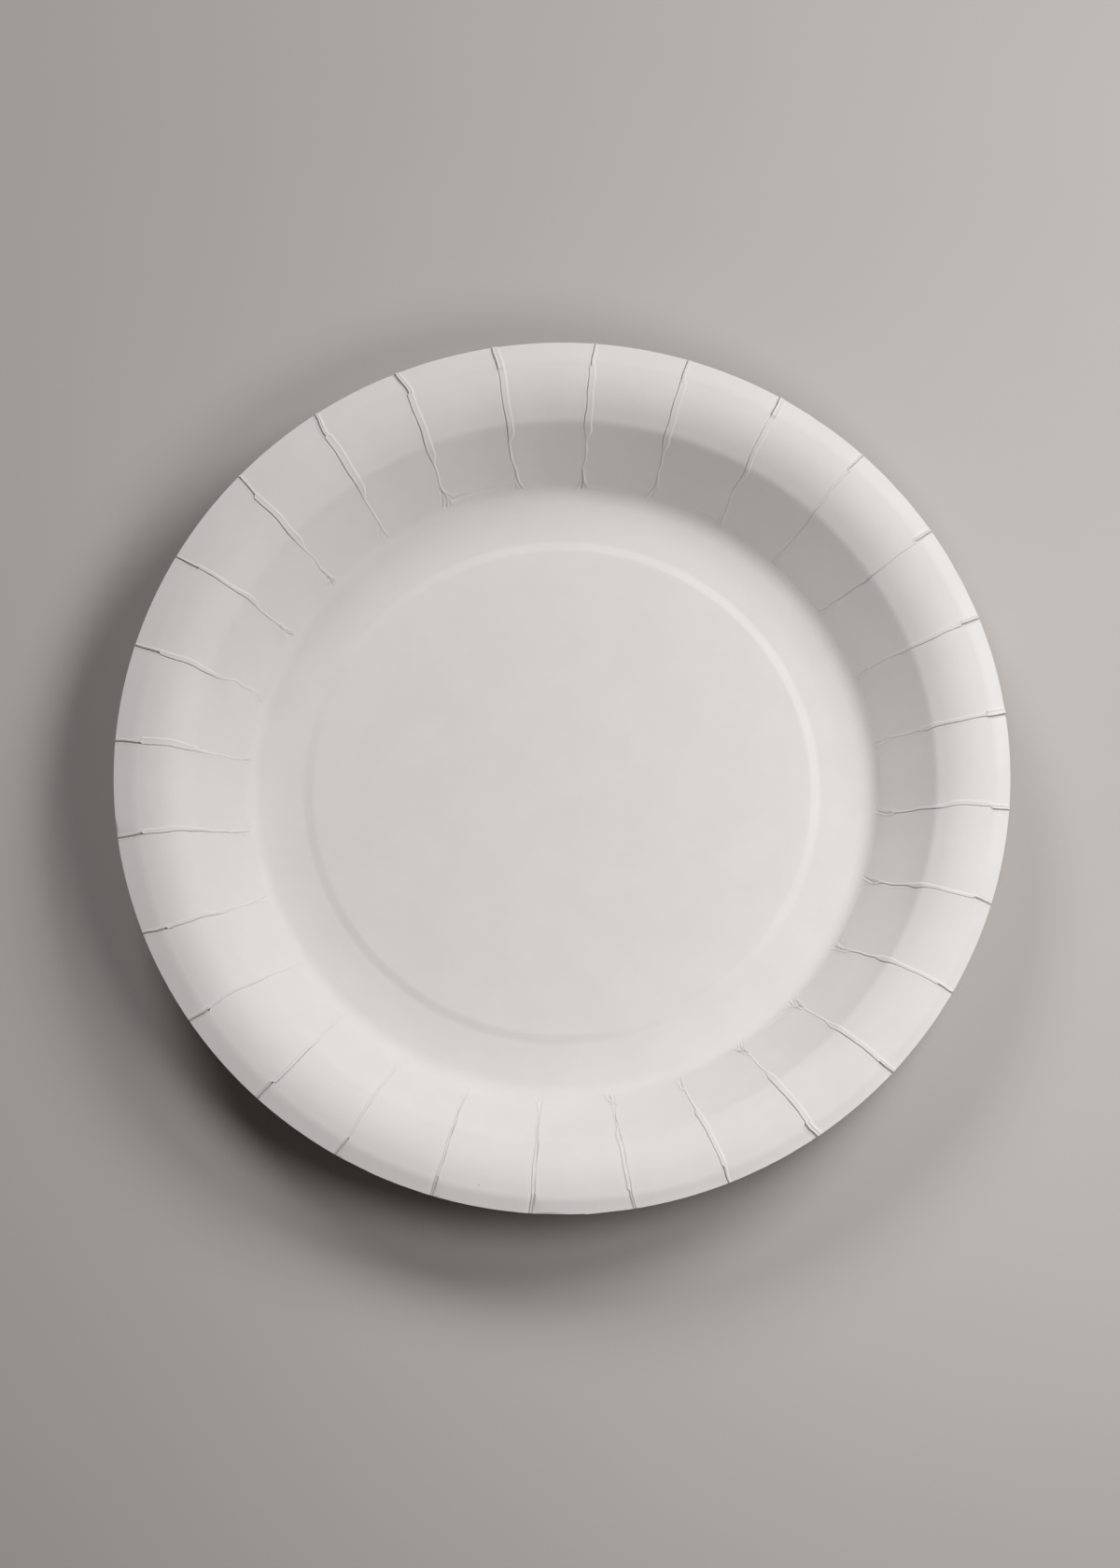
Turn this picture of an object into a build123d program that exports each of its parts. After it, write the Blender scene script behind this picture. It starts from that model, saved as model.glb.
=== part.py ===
from build123d import *
import math
import os

os.makedirs("parts", exist_ok=True)

# Pressed paper plate: one coated board disc, drawn up into a well, a sloping wall and a
# rolled-over rim, with 28 radial pleats taking up the spare board.
# Millimetres, +Z up, plate axis on Z, table plane at Z = 0.

# overall sizes
plate_diameter = 230.0
rim_height = 22.5  # rise from the top of the standing ring to the flat of the rim
board = 0.45  # thickness of the sheet

# rim, measured inwards from the outer edge
rim_width = 12.0  # outer edge to the point where the rim slope meets the flat
lip_width = 3.6  # down-turned lip outside the flat of the rim
lip_drop = 0.9
shoulder_run = 7.6  # rim slope between the wall and the flat
shoulder_drop = 4.35

# wall and well, measured inwards again from the shoulder
wall_run = 14.7
corner_height = 1.35
foot_run = 7.85  # slow rise between the standing ring and the corner
ring_width = 5.9  # flat standing ring
step_width = 2.4  # slope between the standing ring and the raised centre
centre_rise = 0.4

# radii of the bends along the section
step_round = 4.0
foot_round = 50.0
corner_round = 7.4
shoulder_round = 12.0
rim_round = 1.8 * rim_width
lip_round = 10.0

# pleats
pleat_count = 28
fold_side = -1  # the way the folds on top face round the rim: 1 clockwise, -1 anticlockwise
lap_height = 0.22  # pressed height of a folded lap above the sheet
lap_bury = 0.15  # how far a lap is sunk into the sheet it lies on
lap_spread = 0.5  # width of the ramp behind the lap, as a share of the lap
pleated_pieces = 8  # straights and arcs of the section from the corner bend out to the lip
trim_allowance = 1.0  # extra lip that the outer cut takes away

# derived radii from the axis
plate_radius = plate_diameter / 2
rim_start = plate_radius - rim_width
shoulder_radius = rim_start - shoulder_run
corner_radius = shoulder_radius - wall_run
ring_outer = corner_radius - foot_run
ring_inner = ring_outer - ring_width
step_inner = ring_inner - step_width
lip_start = plate_radius - lip_width
lip_angle = math.atan2(lip_drop, lip_width)
rim_top = board + rim_height


def section_points(lip_extra):
    """Corners of the top line of the section, from the axis out, before rounding."""
    end_radius = plate_radius + lip_extra
    end_height = rim_top - lip_drop - lip_extra * math.tan(lip_angle)
    return [
        (0, board + centre_rise),
        (step_inner, board + centre_rise),
        (ring_inner, board),
        (ring_outer, board),
        (corner_radius, board + corner_height),
        (shoulder_radius, rim_top - shoulder_drop),
        (rim_start, rim_top),
        (lip_start, rim_top),
        (end_radius, end_height),
    ]


def top_edges(lip_extra):
    """Rounded top line of the section: straight, arc, straight and so on outwards."""
    radii = [step_round, step_round, foot_round, corner_round, shoulder_round, rim_round, lip_round]
    line = FilletPolyline(*section_points(lip_extra), radius=radii)
    return (Plane.XZ * line).edges()


def sheet_profile(lip_extra):
    """Face of the section: the top line given the board's thickness downwards."""
    top = top_edges(lip_extra)
    outline = offset(top, amount=board, side=Side.RIGHT, closed=True)
    return make_face(outline)


def trim_body():
    """Everything inside the cut edge, which stands square to the drooping lip."""
    lean = math.tan(lip_angle)
    edge_height = rim_top - lip_drop
    low = -rim_height
    high = 2 * rim_height
    points = [
        (0, low),
        (plate_radius + (low - edge_height) * lean, low),
        (plate_radius + (high - edge_height) * lean, high),
        (0, high),
    ]
    return revolve(Plane.XZ * make_face(Polyline(*points, close=True)), axis=Axis.Z)


def lap_section(edge, place, sheet_length, height):
    """Outline across one pleat: the sheet folded over itself, a square fold on top at one
    side and on the underside at the other, each with a ramp behind it."""
    spare = sheet_length - (edge @ place).X
    lap = math.pi * spare / pleat_count
    ramp = lap * lap_spread + lap_bury
    under = -board - height
    corners = [
        (0, height),
        (lap, height),
        (lap + ramp, -lap_bury),
        (lap, lap_bury - board),
        (lap, under),
        (0, under),
        (-ramp, lap_bury - board),
        (0, -lap_bury),
    ]
    outline = Polyline(*[(fold_side * (x - lap / 2), y) for x, y in corners], close=True)
    across = Plane(origin=edge @ place, x_dir=(0, 1, 0), z_dir=edge % place)
    return across * make_face(outline)


def pleat(edges):
    """One pleat, sunk in the sheet at the corner bend and growing out to beyond the lip."""
    run = edges[-pleated_pieces:]
    length = sum(piece.length for piece in edges[:-pleated_pieces])
    growth = [(0, -0.3), (1, 0.3), (2, 0.8)]
    sections = []
    for index, share in growth:
        before = sum(piece.length for piece in run[:index])
        sections.append(lap_section(run[index], 0, length + before, share * lap_height))
    whole = length + sum(piece.length for piece in run)
    sections.append(lap_section(run[-1], 1, whole, lap_height))
    return sweep(sections, path=Wire(run), multisection=True)


def plate():
    """The pressed sheet with its pleats, cut round to size."""
    sheet = revolve(sheet_profile(trim_allowance), axis=Axis.Z)
    one = pleat(top_edges(trim_allowance))
    pitch = 360 / pleat_count
    ring = [Rot(0, 0, (turn + 0.5) * pitch) * one for turn in range(pleat_count)]
    return (sheet + ring) & trim_body()


plate_part = plate()
export_step(plate_part, "parts/plate.step")
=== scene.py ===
"""Pressed paper plate with a pleated rim, on a pale floor in soft studio light."""

import math

import bpy
import numpy as np
from bpy.props import FloatProperty, FloatVectorProperty, IntProperty, PointerProperty
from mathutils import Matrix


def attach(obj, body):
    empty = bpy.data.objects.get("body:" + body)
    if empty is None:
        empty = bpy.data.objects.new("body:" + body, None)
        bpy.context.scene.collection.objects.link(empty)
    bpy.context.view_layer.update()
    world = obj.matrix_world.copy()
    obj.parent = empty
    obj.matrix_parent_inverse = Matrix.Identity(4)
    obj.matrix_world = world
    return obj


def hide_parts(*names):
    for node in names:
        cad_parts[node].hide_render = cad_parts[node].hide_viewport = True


bl_info = {
    "name": "Paper Plate",
    "version": (1, 0, 0),
    "blender": (4, 5, 0),
    "location": "3D View > Sidebar > Plate",
    "description": "Builds a pressed paper plate with a pleated rim, and a stage to show it on",
    "category": "Add Mesh",
}

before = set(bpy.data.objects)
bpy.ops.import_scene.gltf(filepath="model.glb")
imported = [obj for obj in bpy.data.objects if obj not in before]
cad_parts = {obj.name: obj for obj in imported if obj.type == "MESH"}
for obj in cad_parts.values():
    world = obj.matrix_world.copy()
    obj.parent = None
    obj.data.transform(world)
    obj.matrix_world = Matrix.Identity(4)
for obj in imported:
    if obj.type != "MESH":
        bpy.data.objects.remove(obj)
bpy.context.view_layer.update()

MM = 0.001

# runs and rises of the cross-section in mm, from the raised centre out to the flat of the rim
CENTRE_RISE = 0.46
STEP_RUN = 2.4  # slope from the raised centre down to the standing ring
RING_WIDTH = 5.9
FOOT_RUN = 7.85  # slow rise from the ring to the foot of the wall
SHOULDER_RUN = 7.6  # from the top of the wall to the flat of the rim
SHOULDER_DROP = 4.35
LIP_BEND = 5.4  # from the cut edge to the line where the lip bends down
OFFSET = (0.96, -0.72)  # how far the rim was pressed off the sheet's centre
RIM_ROLL = 12.0  # width of the outer rim that rolls down
RIM_LEAN = 0.4  # how much lower its edge lies at the back left, and higher across from there
LEAN_AZIMUTH = 115  # where the edge lies lowest, in degrees
FEET_REACH = 41.5  # along the sheet, from the cut edge in to the feet of the pleats
WALL_REACH = (40, 22)  # along the sheet, from the cut edge in to low and to high on the wall
JOIN_RUN = 4.4  # from the foot of the wall in to the edge of the well's coarser grid
PLEATS = 28

# Each pleat, in order round the rim. The first number is the azimuth in degrees of its left
# crease on the rim. The next five say how many degrees further left that crease stands at the
# cut edge, the lip bend, the shoulder, half way down the wall and above its foot. Then come
# the width between its two creases in mm at the edge, on the rim and at the shoulder, how far
# in mm its foot hooks to the left, how strongly the foot forks, the flare of its lip, and how
# deep its slit is on the rim, on the wall and on the lip.
PLEAT_TABLE = np.array(
    [
        (8.1, 0.4, 0.15, 0.1, 0.15, 0.6, 1.4, 0.9, 1.2, 0.1, 0.3, -0.8, 1.0, 0.35, 0.8),
        (21.1, 0.15, 0.1, -0.1, 0.4, 0.55, 0.8, 1.15, 0.8, 0.0, 0.3, 0.0, 0.9, 0.3, 0.5),
        (34.1, 0.1, 0.1, -0.1, 0.3, 0.95, 0.6, 1.1, 0.85, 1.1, 0.0, 0.0, 0.5, 0.8, 0.6),
        (47.35, 0.05, 0.2, 0.0, 0.1, 0.6, 0.35, 0.6, 0.5, 0.3, 0.0, 0.0, 0.4, 0.5, 0.3),
        (60.3, 0.2, 0.0, -0.45, -0.1, -0.3, 1.2, 1.2, 1.1, -0.8, 0.3, 0.3, 0.5, 0.6, 0.7),
        (73.6, -0.2, -0.1, 0.1, -0.4, -0.2, 0.6, 1.65, 1.7, 2.4, 0.0, 0.0, 0.9, 0.6, 0.6),
        (86.25, -0.5, -0.3, 0.2, -0.3, 0.3, 0.5, 1.6, 1.9, 1.8, 1.0, 0.0, 0.9, 0.4, 0.4),
        (98.8, 0.3, 0.0, -0.05, -0.1, -0.5, 1.5, 1.65, 1.6, -1.8, 0.3, 0.0, 0.8, 0.9, 0.8),
        (111.85, 0.3, -0.3, 0.15, -0.3, 0.0, 1.1, 1.65, 1.9, 1.4, 1.0, 0.8, 1.2, 0.6, 0.9),
        (124.65, -0.7, -0.25, 0.0, -0.25, -0.4, 0.9, 2.0, 1.7, -0.5, 0.0, 0.0, 0.9, 0.3, 0.4),
        (137.6, -0.9, -0.5, 0.3, -0.4, -0.2, 0.35, 1.6, 1.75, 1.4, 1.0, 0.0, 1.2, 0.3, 0.7),
        (150.1, -0.1, -0.1, -0.1, -0.15, -0.3, 0.35, 0.9, 1.3, -2.2, 1.0, 0.0, 0.7, 0.6, 1.0),
        (163.35, -0.5, -0.3, 0.3, -0.9, -0.8, 0.4, 1.3, 1.0, -0.3, 0.2, 0.0, 0.8, 0.15, 1.0),
        (176.1, -0.3, -0.2, 0.0, -0.7, -0.8, 0.4, 1.8, 0.7, 0.0, 0.5, 0.0, 0.3, 0.0, 1.0),
        (188.8, -0.25, -0.25, 0.05, -0.25, -0.5, 0.4, 1.2, 0.6, -0.8, 0.0, -1.0, 0.7, 0.7, 1.0),
        (202.4, -0.85, -0.35, 0.1, -0.7, -1.0, 0.4, 0.9, 0.7, 0.0, 0.2, 0.0, 0.8, 0.15, 0.8),
        (214.6, -0.2, 0.0, 0.2, -0.15, -0.2, 0.5, 0.5, 0.7, 0.0, 0.0, 0.3, 0.2, 0.25, 0.9),
        (228.25, -0.65, -0.45, -0.2, -0.85, -1.2, 0.5, 0.8, 0.6, 0.0, 0.0, 0.4, 1.0, 0.3, 0.7),
        (240.5, -0.5, -0.1, -0.1, -0.1, 0.0, 0.35, 0.5, 0.4, 0.0, 0.0, 1.0, 0.5, 0.3, 0.5),
        (253.4, -0.1, 0.0, -0.1, -0.35, -0.3, 0.35, 0.4, 0.35, 0.0, 0.0, 1.0, 0.8, 0.8, 0.6),
        (266.3, -0.1, 0.0, 0.0, -0.2, 0.0, 0.6, 0.7, 0.35, 0.0, 0.2, 1.3, 0.8, 0.7, 0.6),
        (279.1, 0.2, 0.0, -0.1, -0.3, 0.0, 0.35, 0.9, 1.0, 0.3, 1.0, 0.0, 0.8, 0.7, 0.3),
        (292.15, -0.3, -0.2, -0.2, -0.65, -0.6, 0.5, 1.2, 1.4, 0.8, 0.2, 0.3, 0.5, 0.6, 0.6),
        (304.8, 0.1, -0.2, -0.2, -0.65, -0.6, 1.3, 1.5, 1.6, 1.6, 1.0, -0.6, 1.1, 0.3, 1.1),
        (317.3, 0.1, 0.0, -0.2, -0.55, -0.5, 0.9, 1.2, 1.45, 1.6, 1.0, -0.4, 1.1, 0.3, 1.2),
        (330.15, -0.15, 0.0, 0.1, -0.4, -0.5, 0.35, 0.8, 1.4, -0.5, 0.3, 0.0, 0.15, 1.2, 0.7),
        (342.8, -0.1, 0.0, 0.2, -0.3, 0.2, 0.35, 0.8, 1.2, 1.2, 0.3, 0.0, 0.1, 1.6, 1.3),
        (355.9, -0.4, -0.4, -0.6, -0.65, -0.4, 1.0, 1.2, 0.5, 1.2, 0.0, 0.0, 0.4, 1.4, 0.3),
    ]
)

PLEAT_COLUMNS = (
    "azimuth edge_turn bend_turn shoulder_turn wall_turn foot_turn edge_width rim_width "
    "shoulder_width hook fork flare rim_slit wall_slit lip_slit"
).split()
PLEAT = dict(zip(PLEAT_COLUMNS, PLEAT_TABLE.T[..., None]))
# the slit is under the left side of the fold from the back right round by the left to the
# front, and under the right side elsewhere
LEFT_CUT = ((PLEAT["azimuth"] > 55) & (PLEAT["azimuth"] < 285))[..., None]
SLIMMEST = 0.3  # width of a fold where its two creases meet in one slit, in mm
FOOT_GROWS = (-1.2, 1.5)  # from where to where beyond its foot a pleat grows up, in mm

# Places on the outline, in degrees, where the two halves of the cutting die left a small burr.
BURRS = (32.0, 38.0, 49.5, 246.5, 273.0, 299.4, 325.6)

# Across one crease of a pleat, from the panel onto the raised fold: distance in mm, share of
# the fold's height on the side where the fold is undercut by a slit, share of that slit's
# depth, and share of the fold's height on the open side, where the sheet rises in one slope.
CREASE = np.array(
    [
        (-2.30, 0.00, 0.00, 0.00),
        (-1.15, 0.02, 0.00, 0.00),
        (-0.58, 0.08, 0.00, -0.06),
        (-0.32, 0.16, -0.06, -0.12),
        (-0.19, 0.16, 0.12, 0.02),
        (-0.09, 0.10, 1.00, 0.40),
        (0.00, 0.12, 1.00, 0.85),
        (0.07, 0.90, 0.08, 1.08),
        (0.17, 1.28, 0.00, 1.30),
        (0.38, 1.05, 0.00, 1.06),
    ]
)
CREASE_REACH = 0.82  # a fold at least this wide has both of its creases in full, in mm
BETWEEN = 5  # columns across the panel between two pleats
FINE = 2 * len(CREASE) + 2
COLUMNS = PLEATS * (FINE + BETWEEN)


def linear(code):
    """Linear colour of an sRGB hex code."""
    share = np.array([int(code[i : i + 2], 16) for i in (0, 2, 4)]) / 255
    low, high = share / 12.92, ((share + 0.055) / 1.055) ** 2.4
    return (*np.where(share <= 0.04045, low, high).tolist(), 1.0)


class PlateSizes(bpy.types.PropertyGroup):
    """Sizes and colours of the plate."""

    diameter: FloatProperty(
        name="Diameter", description="Across the cut edge", default=0.2298, unit="LENGTH"
    )
    rim_height: FloatProperty(
        name="Rim height",
        description="Rise from the standing ring to the flat of the rim",
        default=0.0219,
        unit="LENGTH",
    )
    board: FloatProperty(
        name="Board", description="Thickness of the sheet", default=0.00045, unit="LENGTH"
    )
    rim_width: FloatProperty(
        name="Rim width", description="Edge to the rim slope", default=0.012, unit="LENGTH"
    )
    lip_width: FloatProperty(
        name="Lip width", description="Down-turned outer band", default=0.0043, unit="LENGTH"
    )
    wall_run: FloatProperty(
        name="Wall run", description="How far the wall leans out", default=0.0147, unit="LENGTH"
    )
    fold_height: FloatProperty(
        name="Fold height",
        description="How far a pressed fold stands above the sheet at the edge",
        default=0.00021,
        unit="LENGTH",
    )
    seed: IntProperty(
        name="Seed", description="Changes how the pleats wander", default=7, min=0
    )
    coating: FloatVectorProperty(
        name="Coating",
        description="Colour of the coated face",
        subtype="COLOR",
        default=linear("ECE9E7")[:3],
    )
    pulp: FloatVectorProperty(
        name="Pulp",
        description="Colour of the bare pulp on the underside",
        subtype="COLOR",
        default=linear("DDD7CF")[:3],
    )
    sheared: FloatVectorProperty(
        name="Cut edge",
        description="Colour of the board where it is cut",
        subtype="COLOR",
        default=linear("C7A793")[:3],
    )


class StageLights(bpy.types.PropertyGroup):
    """Light and floor around the plate."""

    key_power: FloatProperty(
        name="Key light", description="Soft light from the back right", default=2.54, unit="POWER"
    )
    near_power: FloatProperty(
        name="Near light",
        description="Small soft light high on the right",
        default=0.39,
        unit="POWER",
    )
    back_power: FloatProperty(
        name="Back light",
        description="Large soft light from the back left",
        default=11.6,
        unit="POWER",
    )
    ambient: FloatProperty(
        name="Ambient", description="Strength of the even light all round", default=0.034
    )
    floor: FloatVectorProperty(
        name="Floor",
        description="Colour of the floor",
        subtype="COLOR",
        default=linear("C9C5C2")[:3],
    )


def node(tree, kind, **settings):
    """Adds a node with its settings. One that starts with in_ is the input of that name or
    number, which is linked if the value is another node's output; the rest are attributes."""
    made = tree.nodes.new(kind)
    for name, value in settings.items():
        if not name.startswith("in_"):
            setattr(made, name, value)
            continue
        key = name[3:].replace("_", " ")
        socket = made.inputs[int(key) if key.isdigit() else key]
        if isinstance(value, bpy.types.NodeSocket):
            tree.links.new(value, socket)
        else:
            socket.default_value = value
    return made


def wall_foot(sizes):
    """Radius of the foot of the wall, in mm."""
    return (sizes.diameter / 2 - sizes.rim_width - sizes.wall_run) / MM - SHOULDER_RUN


def section(sizes):
    """Top line of the plate's cross-section, in mm from the axis and above the table.

    Straight runs between corner points, each corner replaced by an arc of its radius that
    touches both runs; sampled finely, with the distance along the line and the slope."""
    radius, board = sizes.diameter / 2 / MM, sizes.board / MM
    top = board + sizes.rim_height / MM
    rim_width, lip_width = sizes.rim_width / MM, sizes.lip_width / MM
    corner = wall_foot(sizes)
    ring_out = corner - FOOT_RUN
    ring_in = ring_out - RING_WIDTH
    points = np.array(
        [
            (0, board + CENTRE_RISE),
            (ring_in - STEP_RUN, board + CENTRE_RISE),
            (ring_in, board),
            (ring_out, board),
            (corner - 0.3, board + 0.4),
            (corner + sizes.wall_run / MM, top - SHOULDER_DROP),
            (radius - rim_width, top),
            (radius - lip_width, top),
            (radius, top - 0.21 * lip_width),
        ]
    )
    bends = (2.8, 2.8, 40.0, 5.8, 6.0, 1.8 * rim_width, 8.0)
    step = np.diff(points, axis=0)
    heading = np.arctan2(step[:, 1], step[:, 0])
    line = [points[:1]]
    for corner_point, before, after, bend in zip(points[1:-1], heading[:-1], heading[1:], bends):
        turn = after - before
        reach = bend * math.tan(abs(turn) / 2)
        start = corner_point - reach * np.array([math.cos(before), math.sin(before)])
        angle = before + turn * np.linspace(0, 1, 60)
        side = math.copysign(bend, turn)
        across = np.stack([np.sin(angle) - math.sin(before), math.cos(before) - np.cos(angle)], 1)
        line.append(start + side * across)
    line.append(points[-1:])
    line = np.concatenate(line)
    along = np.concatenate([[0], np.cumsum(np.hypot(*np.diff(line, axis=0).T))])
    fine = np.linspace(0, along[-1], 6000)
    r, z = np.interp(fine, along, line[:, 0]), np.interp(fine, along, line[:, 1])
    slope = np.arctan2(np.gradient(z), np.gradient(r))
    return {"s": fine, "r": r, "z": z, "slope": slope, "board": board}


def rows(line, stops, gaps):
    """Distances along the section from one stop radius to the next at about each gap."""
    marks = np.interp(stops, line["r"], line["s"])
    parts = [
        np.linspace(a, b, max(2, round((b - a) / gap) + 1))[:-1]
        for a, b, gap in zip(marks[:-1], marks[1:], gaps)
    ]
    return np.concatenate([*parts, marks[-1:]])


def smooth_step(x, low, high):
    """0 below low, 1 above high, and an even S between."""
    share = np.clip((x - low) / (high - low), 0, 1)
    return share * share * (3 - 2 * share)


def between_stations(s, stations, values):
    """A value per pleat along the section: level at each station, easing from one to the next."""
    total = values[:, :1] + 0 * s
    for low, high, change in zip(stations[:-1], stations[1:], np.diff(values, axis=1).T):
        total = total + change[:, None] * smooth_step(s, low, high)
    return total


def valley(across, depth):
    """Height of a fine crease: a narrow valley with the sheet pushed up along one side."""
    return depth * (0.7 * np.exp(-(((across - 0.42) / 0.24) ** 2)) - np.exp(-((across / 0.2) ** 2)))


def panel_shares(azimuth):
    """Where the columns of each panel stand, as shares of its width: evenly, or, on a panel
    with a burr in its edge, two evenly and three close about the burr."""
    shares = np.tile((np.arange(BETWEEN) + 1) / (BETWEEN + 1), (PLEATS, 1))
    following = np.append(azimuth[1:], azimuth[0] + 360)
    for burr in BURRS:
        panel = int(np.searchsorted(azimuth, burr)) - 1
        place = (burr - azimuth[panel]) / (following[panel] - azimuth[panel])
        close = place + np.array([-0.012, 0.0, 0.012])
        shares[panel] = np.sort(np.concatenate([close, [0.35, 0.72]]))
    return shares


def crease_paths(s, r, ahead, stops, rng):
    """Angle of each pleat's left crease and width of its fold, at distances s.

    The angle is the table's azimuth and turns, plus a slow wave and a finer one over it, and a
    hook that grows with the square of the distance below the foot. Gives the length and the
    phase of the finer wave too, because the slit's depth follows it."""
    foot, shoulder, lip, end = stops
    stations = (foot + 4.5, shoulder - 9, shoulder - 0.5, shoulder + 7.5, lip - 0.6, lip, end)
    on_azimuth = np.zeros((PLEATS, 2))
    turns = [PLEAT[name] for name in ("foot_turn", "wall_turn", "shoulder_turn")]
    turns = np.hstack([*turns, on_azimuth, PLEAT["bend_turn"], PLEAT["edge_turn"]])
    turn = between_stations(s, stations, turns)
    phase, wave = rng.uniform(0, 2 * math.pi, (2, PLEATS, 1)), rng.uniform(8, 14, (PLEATS, 1))
    wander = 0.10 * np.sin(2 * math.pi * ahead / wave + phase[0])
    wander += 0.025 * np.sin(2 * math.pi * ahead / (0.37 * wave) + phase[1])
    wander += PLEAT["hook"] * np.clip(1 - (ahead + 0.8) / 5.5, 0, 1.2) ** 2
    marks = (shoulder - 5.5, shoulder - 1.5, shoulder + 6, lip - 0.6, lip, end)
    names = ("shoulder_width", "rim_width", "rim_width", "edge_width", "edge_width")
    spans = np.hstack([np.full((PLEATS, 1), SLIMMEST), *(PLEAT[name] for name in names)])
    width = np.maximum(between_stations(s, marks, spans), SLIMMEST)
    return np.radians(PLEAT["azimuth"] + turn) + wander / r, width, wave, phase[1]


def fold_heights(s, ahead, stops, width, wave, phase, rng):
    """Height of each pleat's fold and depth of its slit, at distances s.

    The fold steps up at its foot, below the shoulder and at the lip bend. The slit eases from
    the table's depth on the wall to that on the rim, deeper and shallower in a wave, and takes
    the lip's own depth from the bend out."""
    _, shoulder, lip, end = stops
    size = rng.uniform(0.75, 1.25, (4, PLEATS, 1))[2]
    grown = smooth_step(ahead, *FOOT_GROWS)
    on_lip = smooth_step(s, lip - 0.15, lip + 0.2)
    lift = 0.08 * grown + 0.06 * smooth_step(s, shoulder - 6, shoulder - 1) * size
    lift = lift + on_lip * (0.2 - 0.05 * smooth_step(s, lip + 1, end)) * np.clip(width, SLIMMEST, 1)
    lift = lift + 0.14 * PLEAT["lip_slit"] * np.exp(-(((s - lip + 0.15) / 0.35) ** 2))
    waves = 1 + 0.2 * np.sin(2 * math.pi * ahead / (0.8 * wave) + phase)
    on_rim = smooth_step(s, shoulder - 2, shoulder + 4)
    slit = PLEAT["wall_slit"] + (PLEAT["rim_slit"] - PLEAT["wall_slit"]) * on_rim
    slit = grown * 0.21 * slit * waves + 0.05 * np.exp(-(((s - shoulder) / 3) ** 2))
    slit = slit + (0.10 + 0.50 * PLEAT["lip_slit"] - slit) * on_lip
    gape = 1 + 1.2 * PLEAT["lip_slit"] * on_lip
    return lift, slit, gape


def fold_columns(s, stops, width, lift, slit, gape):
    """Distance from the left crease, and height, of every column across each fold.

    The crease's columns stand at set distances from both creases, so that each slit and each
    side of the fold is cut cleanly, with two columns between. The height is the fold's less
    the slit's, each by its share at the column; on the rim the far crease has a faint slit."""
    near, undercut, slit_share, open_side = CREASE.T
    full = np.clip(width / CREASE_REACH, 0, 1)[..., None]
    t = np.where(near > 0, near * full, near * np.where(near > -0.5, gape[..., None], 1))
    inner = t[..., -1:] + (width[..., None] - 2 * t[..., -1:]) * np.array([0.33, 0.67])
    t = np.concatenate([t, inner, width[..., None] - t[..., ::-1]], axis=2)
    raised = np.concatenate([undercut, [1.0, 1.0], open_side[::-1]])
    sunk = np.concatenate([slit_share, np.zeros(len(CREASE) + 2)])
    second = 0.25 * smooth_step(s, stops[1], stops[1] + 4)[:, None]
    cut_left, cut_right = sunk + second * sunk[::-1], sunk[::-1] + second * sunk
    high = lift[..., None] * np.where(LEFT_CUT, raised, raised[::-1])
    return t, high - slit[..., None] * np.where(LEFT_CUT, cut_left, cut_right)


def foot_relief(t, ahead, rng):
    """Height at the feet of the pleats, over distances t across and ahead along each.

    It is the end of the slit, a fan of four fine creases running down from it and four short
    wrinkles, each a valley square to a straight line, on a low round swelling."""
    side = np.where(PLEAT["hook"] >= 0, 1.0, -1.0)[..., None]
    slit_end = (0.06 + 0.16 * PLEAT["wall_slit"][..., None]) * smooth_step(ahead, -1.0, 1.2)
    relief = valley(t - 0.36 * ~LEFT_CUT, slit_end)
    for k in range(4):
        top_end = rng.uniform(2.5, 5.6, (PLEATS, 1, 1)) if k else 5.8
        lean = side * (0.20 + 0.16 * k) * rng.uniform(0.8, 1.3, (PLEATS, 1, 1))
        depth = (0.11 if k else 0.16) * (0.25 + PLEAT["fork"][..., None])
        depth = depth * smooth_step(ahead, -0.6, 0.6)
        depth = depth * (1 - smooth_step(ahead, top_end - 0.8, top_end))
        relief = relief + valley(t - lean * (top_end - ahead), depth)
    for _ in range(4):
        across, up, turn = rng.uniform(-1, 1, (3, PLEATS, 1, 1))
        u, v = t - 1.3 * across, ahead - 0.2 - 1.1 * up
        along = u * np.cos(turn) + v * np.sin(turn)
        beside = v * np.cos(turn) - u * np.sin(turn)
        relief = relief + valley(beside, 0.07 * np.exp(-((along / 0.8) ** 2)))
    return relief + 0.05 * smooth_step(ahead, *FOOT_GROWS) * np.exp(-((t / 0.5) ** 2))


def add_panels(s, ahead, stops, angle, high, painted_crease_shade, rng):
    """Adds the columns of the panel on the left of each pleat to the pleat's own.

    Angle and height run straight from one pleat to the next; the height has a slight bow, the
    sum of a half wave and a whole one across, which fades at the foot and towards the edge."""
    following = np.roll(angle[:, :, :1], -1, axis=0)
    following[-1] += 2 * math.pi
    last = angle[:, :, -1:]
    share = panel_shares(PLEAT["azimuth"][:, 0])[:, None, :]
    angle = np.concatenate([angle, last + (following - last) * share], axis=2)
    next_high = np.roll(high[:, :, :1], -1, axis=0)
    bow = rng.uniform(-0.08, 0.08, (PLEATS, 1, 1)) * np.sin(math.pi * share)
    bow = bow + rng.uniform(-0.04, 0.04, (PLEATS, 1, 1)) * np.sin(2 * math.pi * share)
    fade = smooth_step(ahead, *FOOT_GROWS) * (1 - smooth_step(s, stops[2] - 4, stops[3]))
    panel = high[:, :, -1:] + (next_high - high[:, :, -1:]) * share + bow * fade[..., None]
    high = np.concatenate([high, panel], axis=2)
    # the panels get no painted crease shade
    painted_crease_shade = np.concatenate([painted_crease_shade, 0 * panel], axis=2)
    return angle, high, painted_crease_shade


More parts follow.
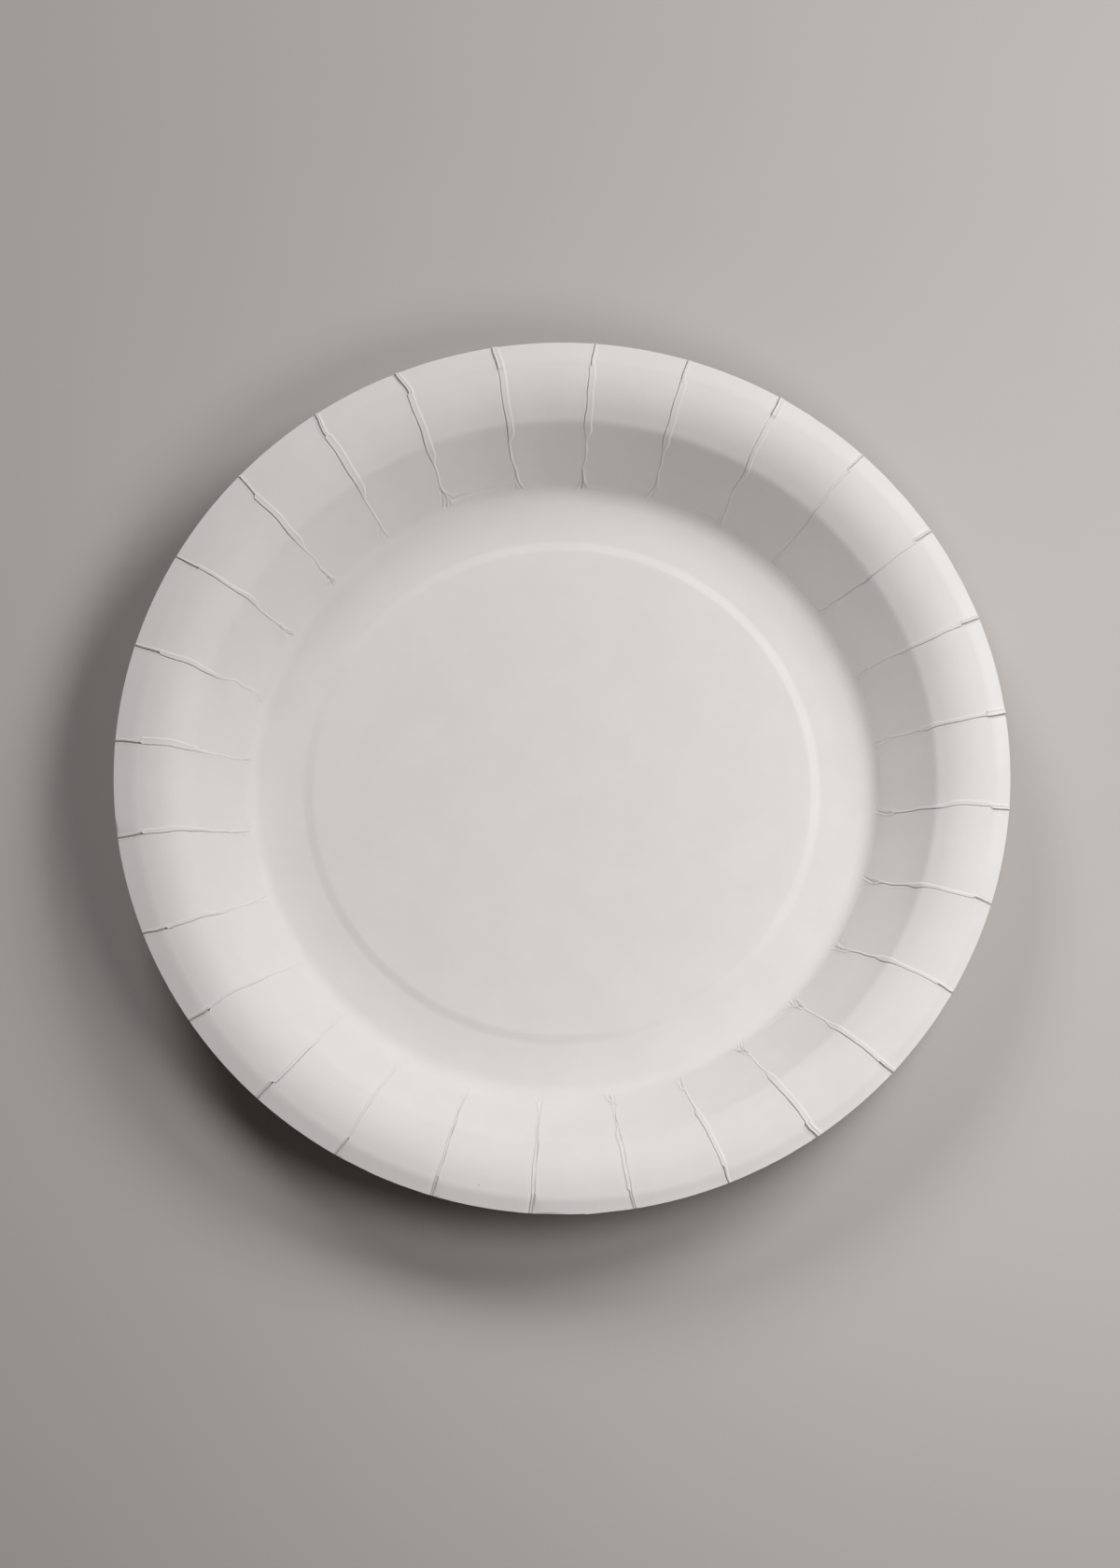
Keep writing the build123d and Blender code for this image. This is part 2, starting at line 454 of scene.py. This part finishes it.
def pleats(line, s, sizes, under):
    """Angles, lifts and painted crease shade of every column at distances s along the section.

    A pleat is a raised fold between two creases. Its columns are those across the fold and
    those of the panel up to the next pleat. The fold narrows to one slit on the wall and gives
    way to fine relief at its foot; a flared lip has a facet pressed down beside the crease,
    widening to the edge. Painted shade darkens the coating in proportion to how deep the crease is."""
    rng = np.random.default_rng(sizes.seed)
    r = np.interp(s, line["s"], line["r"])
    end = line["s"][-1]
    shoulder_r = wall_foot(sizes) + sizes.wall_run / MM - 0.5
    bend_r = sizes.diameter / 2 / MM - LIP_BEND
    shoulder, lip = np.interp((shoulder_r, bend_r), line["r"], line["s"])
    foot = end - FEET_REACH
    stops = (foot, shoulder, lip, end)
    ahead = s - (foot + rng.uniform(-0.4, 0.4, (PLEATS, 1)))
    path, width, wave, phase = crease_paths(s, r, ahead, stops, rng)
    lift, slit, gape = fold_heights(s, ahead, stops, width, wave, phase, rng)
    lift = lift * sizes.fold_height / MM / 0.2
    if under:
        slit = 0.5 * slit
    t, high = fold_columns(s, stops, width, lift, slit, gape)

    # near the foot the columns spread out, and the fold gives way to the relief there
    ahead_column = ahead[..., None]
    low = 1 - smooth_step(ahead_column, 4.6, 6.4)
    order = np.arange(FINE) - 6
    t = t + low * (np.where(order < 0, 0.34 * order, 0.18 * order) - t)
    high = high * (1 - low) + low * foot_relief(t, ahead_column, rng)
    # painted shade: the deeper the crease, the darker its coating, less so near the foot
    painted_crease_shade = np.clip((-high - 0.04) / 0.5, 0, 1) * (1 - 0.6 * low)

    # the flared lip's facet, on the side that the table's sign gives
    flare = PLEAT["flare"][..., None]
    rise = np.clip((s - lip) / (end - lip), 0, 1)[None, :, None]
    aside = np.where(flare > 0, -t, t - width[..., None])
    facet = np.clip(1 - aside / (0.4 + 2.0 * rise), 0, 1) * (aside > 0.1)
    high = high - 0.28 * np.abs(flare) * rise * facet

    # distances run to the right, angles to the left
    angle = (path[..., None] - t / r[None, :, None])[..., ::-1]
    grids = add_panels(s, ahead, stops, angle, high[..., ::-1], painted_crease_shade[..., ::-1], rng)
    return [grid.transpose(1, 0, 2).reshape(len(s), COLUMNS) for grid in grids]


def surface(line, s, angle, lift, down):
    """Points of one face of the board: the section turned about the axis by each angle, moved
    square to the sheet by its lift, the underside one board thickness further down. Between
    wall and lip the ring also moves out on one side and in on the other, as if the die had
    stood off centre, easing to nothing low on the wall and at the edge. The outer rim
    is rolled further down at the back left than at the front right, and each burr is a narrow
    bell in the cut edge."""
    r, z = (np.interp(s, line["s"], line[key])[:, None] for key in ("r", "z"))
    slope = np.interp(s, line["s"], line["slope"])[:, None]
    end = line["s"][-1]
    low, high = WALL_REACH
    moved = smooth_step(s, end - low, end - high) * (1 - smooth_step(s, end - LIP_BEND, end))
    out = -(line["board"] + lift) if down else lift
    r, z = r - out * np.sin(slope), z + out * np.cos(slope)
    r = r + (OFFSET[0] * np.cos(angle) + OFFSET[1] * np.sin(angle)) * moved[:, None]
    rolled = np.clip((s - end + RIM_ROLL) / RIM_ROLL, 0, 1)[:, None] ** 1.5
    z = z - RIM_LEAN * np.cos(angle - math.radians(LEAN_AZIMUTH)) * rolled
    burr = sum(np.exp(-(((angle - math.radians(place)) / 0.0022) ** 2)) for place in BURRS)
    r = r + 0.18 * burr * smooth_step(s, end - 0.8, end)[:, None]
    return np.stack([r * np.cos(angle), r * np.sin(angle), z + 0 * angle], axis=2)


def quads(start, count, columns):
    """Faces of a closed band of rings, each ring starting after the last."""
    ring, column = np.mgrid[0 : count - 1, 0:columns]
    after = (column + 1) % columns
    a, b = start + ring * columns + column, start + ring * columns + after
    return np.stack([a, b, b + columns, a + columns], axis=2).reshape(-1, 4)


def make_plate(sizes):
    """The whole sheet as one closed surface: coated face, cut edge and underside.

    The well is a grid of few columns; at the foot of the pleats each of them meets four of
    the pleated grid's columns in one six-cornered face."""
    line = section(sizes)
    corner_r = wall_foot(sizes)
    ring_r = corner_r - FOOT_RUN - RING_WIDTH
    radius = sizes.diameter / 2 / MM
    bend_r, join_r = radius - LIP_BEND, corner_r - JOIN_RUN
    every = 4
    few = COLUMNS // every
    column, after = np.arange(few), (np.arange(few) + 1) % few
    even = column * 2 * math.pi / few
    inner_stops = [4, ring_r - 3.4, ring_r + 0.9, join_r]
    outer_stops = [join_r + 0.6, corner_r - 0.8, corner_r + 4.8, corner_r + 13, corner_r + 17]
    outer_stops += [bend_r - 0.7, bend_r + 0.5, radius]
    verts, painted_crease_shades, faces, kinds = [], [], [], []

    def add(points, painted_crease_shade=0.0):
        """Adds a grid of points and gives the number of its first one."""
        start = sum(map(len, verts))
        verts.append(points.reshape(-1, 3))
        painted_crease_shades.append(np.broadcast_to(painted_crease_shade, points.shape[:-1]).ravel())
        return start

    def add_faces(group, kind):
        """Adds faces of one kind: 0 the coated face, 1 the underside, 2 the cut edge."""
        faces.append(group)
        kinds.append(np.full(len(group), kind))

    edges = []
    for down, gaps, inner_gaps in (
        (False, (0.9, 0.36, 1.1, 0.6, 1.0, 0.12, 0.6), (14, 0.36, 1.6)),
        (True, (1.8, 0.9, 2.0, 0.9, 1.7, 0.5, 0.9), (14, 0.6, 2.2)),
    ):
        s = rows(line, outer_stops, gaps)
        angle, high, painted_crease_shade = pleats(line, s, sizes, down)
        rim = surface(line, s, angle, high, down)
        rim_start = add(rim, painted_crease_shade)
        edges.append((rim_start + (len(s) - 1) * COLUMNS, rim[-1:]))
        inner_s = rows(line, inner_stops, inner_gaps)[::-1]
        blend = smooth_step(np.interp(inner_s, line["s"], line["r"]), ring_r + 1, join_r)[:, None]
        base = angle[0, ::every]
        turned = even + np.round((base[0] - even[0]) / (2 * math.pi)) * 2 * math.pi
        turned = turned + (base - turned).mean()
        inner_angle = blend * base + (1 - blend) * turned
        inner_start = add(surface(line, inner_s, inner_angle, 0 * inner_angle, down))
        centre = add(surface(line, np.zeros(1), np.zeros((1, 1)), np.zeros((1, 1)), down))
        rim_side = [rim_start + (every * column + k) % COLUMNS for k in range(every, -1, -1)]
        join = np.stack([inner_start + column, inner_start + after, *rim_side], axis=1)
        last = inner_start + (len(inner_s) - 1) * few
        fan = np.stack([np.full(few, centre), last + column, last + after], axis=1)
        # a rise in s goes outwards and a rise in column goes left, so these face up
        band = quads(rim_start, len(s), COLUMNS)[:, ::-1]
        for group in (band, quads(inner_start, len(inner_s), few), join[:, ::-1], fan):
            add_faces(group[:, ::-1] if down else group, int(down))

    # the cut edge, with its two arrises rounded by fibres that stand out a little
    (top_ring, top_points), (low_ring, low_points) = edges
    outward = top_points * (1, 1, 0)
    outward /= np.linalg.norm(outward, axis=2, keepdims=True)
    column, after = np.arange(COLUMNS), (np.arange(COLUMNS) + 1) % COLUMNS
    rings = [top_ring]
    for share in (0.1, 0.9):
        rings.append(add(top_points * (1 - share) + low_points * share + 0.02 * outward))
    rings.append(low_ring)
    for upper, lower in zip(rings[:-1], rings[1:]):
        group = np.stack([lower + column, lower + after, upper + after, upper + column], axis=1)
        add_faces(group, 2)
    return np.concatenate(verts) * MM, np.concatenate(painted_crease_shades), faces, np.concatenate(kinds)


def shades(colour, darker, warmer):
    """Two colours about a linear one: lighter by a share, and darker and warmer by a share."""
    colour = np.array(colour)
    low = colour * (1 - darker) * np.array([1 + warmer, 1, 1 - warmer])
    return (*(colour * (1 + darker)).tolist(), 1.0), (*low.tolist(), 1.0)


def new_material(name, roughness):
    """A material with its shader, and the object coordinates its patterns use."""
    material = bpy.data.materials.new(name)
    material.use_nodes = True
    tree = material.node_tree
    shader = tree.nodes["Principled BSDF"]
    shader.inputs["Roughness"].default_value = roughness
    return material, tree, shader, node(tree, "ShaderNodeTexCoord").outputs["Object"]


def grain(*sizes_mm):
    """Pattern scale along each axis, for a grain of these sizes in mm."""
    return tuple(1 / (MM * size) for size in sizes_mm)


def coated_board(sizes):
    """White board with a clay coating, calendered and then pressed hot.

    The coating gives an even satin white; the pulp under it shows only as a soft cloudiness,
    a relief of fibres too slight to see singly, and a few faint specks. Deep in each crease
    the coating is darkened to grey-brown with painted shade."""
    material, tree, shader, place = new_material("Clay-coated pressed paperboard", 0.5)
    light, dark = shades(sizes.coating, 0.012, 0.003)
    # clouds of thicker and thinner pulp, 14 mm and 3 mm across
    cloud = node(tree, "ShaderNodeTexNoise", in_Vector=place, in_Scale=1 / (14 * MM)).outputs[0]
    share = node(tree, "ShaderNodeMapRange", in_Value=cloud, in_1=0.35, in_2=0.65).outputs[0]
    tint = node(tree, "ShaderNodeMix", data_type="RGBA", in_0=share, in_6=light, in_7=dark).outputs[2]
    moved = node(tree, "ShaderNodeMapping", in_Vector=place, in_Scale=grain(3.2, 2.2, 2.6)).outputs[0]
    cloud = node(tree, "ShaderNodeTexNoise", in_Vector=moved, in_Scale=1.0, in_Detail=3.0).outputs[0]
    share = node(tree, "ShaderNodeMapRange", in_Value=cloud, in_1=0.3, in_2=0.7, in_4=0.5).outputs[0]
    thin = (0.982, 0.98, 0.978, 1.0)
    tint = node(
        tree, "ShaderNodeMix", data_type="RGBA", blend_type="MULTIPLY", in_0=share, in_6=tint, in_7=thin
    ).outputs[2]
    # specks of bark about 0.4 mm wide, one every 25 mm or so
    cells = node(tree, "ShaderNodeTexVoronoi", in_Vector=place, in_Scale=1 / (16 * MM))
    draw = node(tree, "ShaderNodeSeparateColor", in_Color=cells.outputs["Color"]).outputs[0]
    keep = node(tree, "ShaderNodeMapRange", in_Value=draw, in_1=0.55, in_2=0.6).outputs[0]
    near = cells.outputs["Distance"]
    speck = node(
        tree, "ShaderNodeMapRange", in_Value=near, in_1=0.011, in_2=0.016, in_3=0.42, in_4=0.0
    ).outputs[0]
    speck = node(tree, "ShaderNodeMath", operation="MULTIPLY", in_0=speck, in_1=keep).outputs[0]
    bark = linear("A08A78")
    tint = node(tree, "ShaderNodeMix", data_type="RGBA", in_0=speck, in_6=tint, in_7=bark).outputs[2]
    # painted shade deep in the creases, a grey-brown that grows darker with the depth of the crease
    painted_crease_shade = node(tree, "ShaderNodeAttribute", attribute_name="painted_crease_shade").outputs["Fac"]
    crease_shade_colour = linear("6B625C")
    tint = node(tree, "ShaderNodeMix", data_type="RGBA", in_0=painted_crease_shade, in_6=tint, in_7=crease_shade_colour).outputs[2]
    tree.links.new(tint, shader.inputs["Base Color"])
    # satin sheen, broken a little where the die pressed harder
    moved = node(tree, "ShaderNodeMapping", in_Vector=place, in_Scale=grain(6, 4, 5)).outputs[0]
    press = node(tree, "ShaderNodeTexNoise", in_Vector=moved, in_Scale=1.0, in_Detail=3.0).outputs[0]
    gloss = node(tree, "ShaderNodeMapRange", in_Value=press, in_1=0.3, in_2=0.7, in_3=0.5, in_4=0.6)
    tree.links.new(gloss.outputs[0], shader.inputs["Roughness"])
    # fibres lie 0.03 mm wide; drawn 0.35 mm wide and 1.1 mm long so that they can be seen
    moved = node(tree, "ShaderNodeMapping", in_Vector=place, in_Scale=grain(1.1, 0.35, 0.5)).outputs[0]
    along = node(tree, "ShaderNodeTexNoise", in_Vector=moved, in_Scale=1.0, in_Detail=3.0).outputs[0]
    moved = node(tree, "ShaderNodeMapping", in_Vector=place, in_Scale=grain(0.45, 1.3, 0.5)).outputs[0]
    cross = node(tree, "ShaderNodeTexNoise", in_Vector=moved, in_Scale=1.0, in_Detail=3.0).outputs[0]
    both = node(tree, "ShaderNodeMath", operation="ADD", in_0=along, in_1=cross).outputs[0]
    relief = node(tree, "ShaderNodeBump", in_Height=both, in_Strength=0.35, in_Distance=0.00002)
    # the felt of the press leaves a broader, lower relief
    moved = node(tree, "ShaderNodeMapping", in_Vector=place, in_Scale=grain(5, 7, 6)).outputs[0]
    felt = node(tree, "ShaderNodeTexNoise", in_Vector=moved, in_Scale=1.0).outputs[0]
    relief = relief.outputs["Normal"]
    felt = node(
        tree, "ShaderNodeBump", in_Height=felt, in_Normal=relief, in_Strength=0.3, in_Distance=0.00004
    )
    tree.links.new(felt.outputs["Normal"], shader.inputs["Normal"])
    return material


def raw_board(sizes):
    """Underside of the board, left uncoated.

    Bare pulp gives a dull, slightly warm white with visible fibres laid mostly one way, and
    the fuzzy relief of a sheet dried on felt."""
    material, tree, shader, place = new_material("Uncoated pulp paperboard", 0.88)
    light, dark = shades(sizes.pulp, 0.02, 0.01)
    moved = node(tree, "ShaderNodeMapping", in_Vector=place, in_Scale=grain(9, 6, 8)).outputs[0]
    cloud = node(tree, "ShaderNodeTexNoise", in_Vector=moved, in_Scale=1.0, in_Detail=3.0).outputs[0]
    share = node(tree, "ShaderNodeMapRange", in_Value=cloud, in_1=0.35, in_2=0.65).outputs[0]
    tint = node(tree, "ShaderNodeMix", data_type="RGBA", in_0=share, in_6=light, in_7=dark).outputs[2]
    # fibre bundles, drawn 0.3 mm by 2.2 mm where real ones are half as wide
    moved = node(tree, "ShaderNodeMapping", in_Vector=place, in_Scale=grain(2.2, 0.3, 0.6)).outputs[0]
    along = node(tree, "ShaderNodeTexNoise", in_Vector=moved, in_Scale=1.0, in_Detail=4.0).outputs[0]
    moved = node(tree, "ShaderNodeMapping", in_Vector=place, in_Scale=grain(0.4, 1.6, 0.6)).outputs[0]
    cross = node(tree, "ShaderNodeTexNoise", in_Vector=moved, in_Scale=1.0, in_Detail=4.0).outputs[0]
    strands = node(tree, "ShaderNodeMath", operation="MULTIPLY", in_0=along, in_1=cross).outputs[0]
    share = node(tree, "ShaderNodeMapRange", in_Value=strands, in_1=0.3, in_2=0.42, in_4=0.35).outputs[0]
    bundle = linear("C3B8AA")
    tint = node(tree, "ShaderNodeMix", data_type="RGBA", in_0=share, in_6=tint, in_7=bundle).outputs[2]
    tree.links.new(tint, shader.inputs["Base Color"])
    both = node(tree, "ShaderNodeMath", operation="ADD", in_0=along, in_1=cross).outputs[0]
    relief = node(tree, "ShaderNodeBump", in_Height=both, in_Strength=0.7, in_Distance=0.00006)
    tree.links.new(relief.outputs["Normal"], shader.inputs["Normal"])
    shader.inputs["Sheen Weight"].default_value = 0.08
    return material


def cut_edge(sizes):
    """Edge of the board where the die sheared it.

    The blade drags bare fibres along the cut, so the edge shows as a thin warm line, darker
    and lighter in short lengths, with the plies of the sheet as faint stripes."""
    material, tree, shader, place = new_material("Sheared paperboard edge", 0.9)
    light, dark = shades(sizes.sheared, 0.08, 0.03)
    # plies are 0.1 mm thick; torn fibre ends run about 1.5 mm along the cut
    moved = node(tree, "ShaderNodeMapping", in_Vector=place, in_Scale=grain(6, 6, 0.1)).outputs[0]
    plies = node(tree, "ShaderNodeTexNoise", in_Vector=moved, in_Scale=1.0).outputs[0]
    share = node(tree, "ShaderNodeMapRange", in_Value=plies, in_1=0.35, in_2=0.65).outputs[0]
    tint = node(tree, "ShaderNodeMix", data_type="RGBA", in_0=share, in_6=light, in_7=dark).outputs[2]
    moved = node(tree, "ShaderNodeMapping", in_Vector=place, in_Scale=grain(1.5, 1.5, 0.3)).outputs[0]
    torn = node(tree, "ShaderNodeTexNoise", in_Vector=moved, in_Scale=1.0, in_Detail=4.0).outputs[0]
    share = node(tree, "ShaderNodeMapRange", in_Value=torn, in_1=0.4, in_2=0.65, in_4=0.5).outputs[0]
    fluff = linear("E3D5CB")
    tint = node(tree, "ShaderNodeMix", data_type="RGBA", in_0=share, in_6=tint, in_7=fluff).outputs[2]
    tree.links.new(tint, shader.inputs["Base Color"])
    relief = node(tree, "ShaderNodeBump", in_Height=torn, in_Strength=0.6, in_Distance=0.00008)
    tree.links.new(relief.outputs["Normal"], shader.inputs["Normal"])
    return material


def floor_paint(lights):
    """Smooth plaster painted matt, which gives an even pale ground with a faint cloud."""
    material, tree, shader, place = new_material("Matt painted plaster floor", 0.85)
    light, dark = shades(lights.floor, 0.012, 0.002)
    moved = node(tree, "ShaderNodeMapping", in_Vector=place, in_Scale=grain(90, 70, 80)).outputs[0]
    cloud = node(tree, "ShaderNodeTexNoise", in_Vector=moved, in_Scale=1.0, in_Detail=4.0).outputs[0]
    share = node(tree, "ShaderNodeMapRange", in_Value=cloud, in_1=0.3, in_2=0.7).outputs[0]
    tint = node(tree, "ShaderNodeMix", data_type="RGBA", in_0=share, in_6=light, in_7=dark).outputs[2]
    tree.links.new(tint, shader.inputs["Base Color"])
    # brushed paint, 0.9 mm to a ripple
    ripple = node(tree, "ShaderNodeTexNoise", in_Vector=place, in_Scale=1 / (0.9 * MM)).outputs[0]
    relief = node(tree, "ShaderNodeBump", in_Height=ripple, in_Strength=0.3, in_Distance=0.00004)
    tree.links.new(relief.outputs["Normal"], shader.inputs["Normal"])
    return material


def soft_light(scene, name, azimuth, height, far, size, power, tint):
    """A round area light aimed at the plate from an azimuth and height in degrees."""
    data = bpy.data.lights.new(name, "AREA")
    data.shape, data.size, data.energy, data.color = "DISK", size, power, linear(tint)[:3]
    lamp = bpy.data.objects.new(name, data)
    azimuth, height = math.radians(azimuth), math.radians(height)
    flat = far * math.cos(height)
    lamp.location = (flat * math.cos(azimuth), flat * math.sin(azimuth), far * math.sin(height))
    lamp.rotation_euler = (math.pi / 2 - height, 0, azimuth + math.pi / 2)
    scene.collection.objects.link(lamp)


class PLATE_OT_plate(bpy.types.Operator):
    """Builds the pressed plate in place of its plain CAD sheet"""

    bl_idname = "plate.add_plate"
    bl_label = "Plate"

    def execute(self, context):
        sizes = context.scene.plate_sizes
        points, painted_crease_shades, groups, kinds = make_plate(sizes)
        mesh = bpy.data.meshes.new("pressed_plate")
        faces = [face for group in groups for face in group.tolist()]
        mesh.from_pydata(points, [], faces)
        mesh.polygons.foreach_set("material_index", kinds.astype(np.int32))
        mesh.polygons.foreach_set("use_smooth", np.ones(len(faces), dtype=bool))
        mesh.set_sharp_from_angle(angle=math.radians(50))
        # painted shade of the creases, kept on each point for the coated face's colour to read
        mesh.attributes.new("painted_crease_shade", "FLOAT", "POINT").data.foreach_set("value", painted_crease_shades)
        for material in (coated_board(sizes), raw_board(sizes), cut_edge(sizes)):
            mesh.materials.append(material)
        mesh.update()
        plate = bpy.data.objects.new("pressed_plate", mesh)
        context.scene.collection.objects.link(plate)
        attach(plate, "root")
        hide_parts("plate")
        return {"FINISHED"}


class PLATE_OT_stage(bpy.types.Operator):
    """Adds the pale floor, the soft lights and the camera"""

    bl_idname = "plate.add_stage"
    bl_label = "Stage"

    def execute(self, context):
        scene, lights = context.scene, context.scene.stage_lights
        scene.view_settings.view_transform = "Standard"
        mesh = bpy.data.meshes.new("floor")
        half = 4.0
        corners = [(-half, -half, 0), (half, -half, 0), (half, half, 0), (-half, half, 0)]
        mesh.from_pydata(corners, [], [(0, 1, 2, 3)])
        mesh.materials.append(floor_paint(lights))
        floor = bpy.data.objects.new("floor", mesh)
        scene.collection.objects.link(floor)

        world = bpy.data.worlds.new("Studio")
        world.use_nodes = True
        back = world.node_tree.nodes["Background"]
        back.inputs["Color"].default_value = linear("FFFCFA")
        back.inputs["Strength"].default_value = lights.ambient
        scene.world = world

        soft_light(scene, "Key", 35, 42, 0.75, 0.34, lights.key_power, "FFFFFE")
        soft_light(scene, "Near", -35, 60, 0.36, 0.18, lights.near_power, "FFFCFC")
        soft_light(scene, "Back", 115, 38, 2.0, 0.8, lights.back_power, "FFFEFF")

        # a long lens two metres off, nearly straight above
        away, lean = 2.0, math.radians(13.26)
        lens = bpy.data.cameras.new("Camera")
        lens.lens, lens.sensor_width, lens.sensor_fit = 177.3, 36, "AUTO"
        lens.shift_x, lens.shift_y = -0.00124, 0.00499
        lens.clip_end = 20
        camera = bpy.data.objects.new("Camera", lens)
        camera.location = (0, -away * math.sin(lean), away * math.cos(lean))
        camera.rotation_euler = (lean, 0, 0)
        scene.collection.objects.link(camera)
        scene.camera = camera
        return {"FINISHED"}


class PLATE_PT_panel(bpy.types.Panel):
    """Sizes of the plate and buttons for its pieces"""

    bl_label = "Paper Plate"
    bl_idname = "PLATE_PT_panel"
    bl_space_type = "VIEW_3D"
    bl_region_type = "UI"
    bl_category = "Plate"

    def draw(self, context):
        for group in (context.scene.plate_sizes, context.scene.stage_lights):
            for name in group.__annotations__:
                self.layout.prop(group, name)
        self.layout.operator(PLATE_OT_plate.bl_idname)
        self.layout.operator(PLATE_OT_stage.bl_idname)


CLASSES = (PlateSizes, StageLights, PLATE_OT_plate, PLATE_OT_stage, PLATE_PT_panel)


def register():
    for cls in CLASSES:
        bpy.utils.register_class(cls)
    bpy.types.Scene.plate_sizes = PointerProperty(type=PlateSizes)
    bpy.types.Scene.stage_lights = PointerProperty(type=StageLights)


def unregister():
    del bpy.types.Scene.stage_lights
    del bpy.types.Scene.plate_sizes
    for cls in reversed(CLASSES):
        bpy.utils.unregister_class(cls)


def main():
    register()
    bpy.ops.plate.add_plate()
    bpy.ops.plate.add_stage()


if __name__ == "__main__":
    main()
